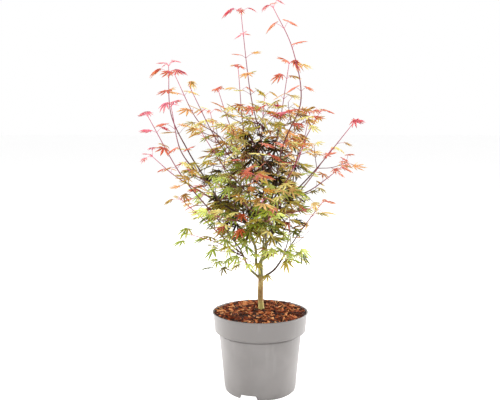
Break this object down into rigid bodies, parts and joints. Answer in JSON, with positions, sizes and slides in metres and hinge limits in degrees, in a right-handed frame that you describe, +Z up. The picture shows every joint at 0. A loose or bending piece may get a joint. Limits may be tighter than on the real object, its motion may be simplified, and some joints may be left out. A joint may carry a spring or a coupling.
{
  "type": "potted maple",
  "caption": "Young upright maple with deeply lobed leaves tinted from green to rose, standing in a round grey nursery pot filled with bark mulch.",
  "frame": {"origin": "centre of the flat hub under the pot, in the plane that the pot stands on", "axes": "+Z up along the pot's axis towards the top of the plant, front of the plant towards -Y, +X to the right as seen from the front"},
  "size_m": [0.4518, 0.4093, 0.7656],
  "materials": {
    "pot_plastic": "smooth satin grey injection-moulded plastic",
    "bark_mulch": "rough reddish-brown bark chips",
    "bark": "smooth olive-tan young bark",
    "leaf_rose": "thin soft rose-pink young leaves",
    "leaf_orange": "thin soft orange leaves",
    "leaf_olive": "thin soft bronze and olive leaves",
    "leaf_green": "thin soft fresh green leaves"
  },
  "bodies": {
    "root": {"bough_back": "bark", "bough_back_left": "bark", "bough_back_right": "bark", "bough_centre": "bark", "bough_centre_left": "bark", "bough_far_left": "bark", "bough_front": "bark", "bough_front_high": "bark", "bough_front_right": "bark", "bough_left": "bark", "bough_low_left": "bark", "bough_low_right": "bark", "bough_right": "bark", "bough_right_high": "bark", "foliage_back_high": "leaf_olive", "foliage_back_left_high": "leaf_orange", "foliage_back_left_low": "leaf_green", "foliage_back_left_mid": "leaf_olive", "foliage_back_right_high": "leaf_orange", "foliage_back_right_low": "leaf_green", "foliage_back_right_mid": "leaf_olive", "foliage_foot_left": "leaf_green", "foliage_foot_right": "leaf_green", "foliage_front_centre": "leaf_olive", "foliage_front_high": "leaf_olive", "foliage_front_left": "leaf_green", "foliage_front_low": "leaf_green", "foliage_front_mid": "leaf_orange", "foliage_front_right": "leaf_olive", "foliage_front_upper": "leaf_olive", "foliage_inner_left": "leaf_olive", "foliage_leader": "leaf_rose", "foliage_left_back": "leaf_rose", "foliage_left_long": "leaf_rose", "foliage_left_low": "leaf_olive", "foliage_left_mid": "leaf_olive", "foliage_left_second": "leaf_rose", "foliage_left_skirt": "leaf_green", "foliage_left_tall": "leaf_rose", "foliage_plume": "leaf_orange", "foliage_plume_left": "leaf_orange", "foliage_right_back": "leaf_olive", "foliage_right_long": "leaf_rose", "foliage_right_low": "leaf_orange", "foliage_right_mid": "leaf_orange", "foliage_right_skirt": "leaf_olive", "foliage_right_tall": "leaf_rose", "foliage_right_upper": "leaf_orange", "foliage_upper_left": "leaf_orange", "foliage_upper_right": "leaf_orange", "mulch": "bark_mulch", "pot": "pot_plastic", "trunk": "bark"}
  },
  "joints": []
}
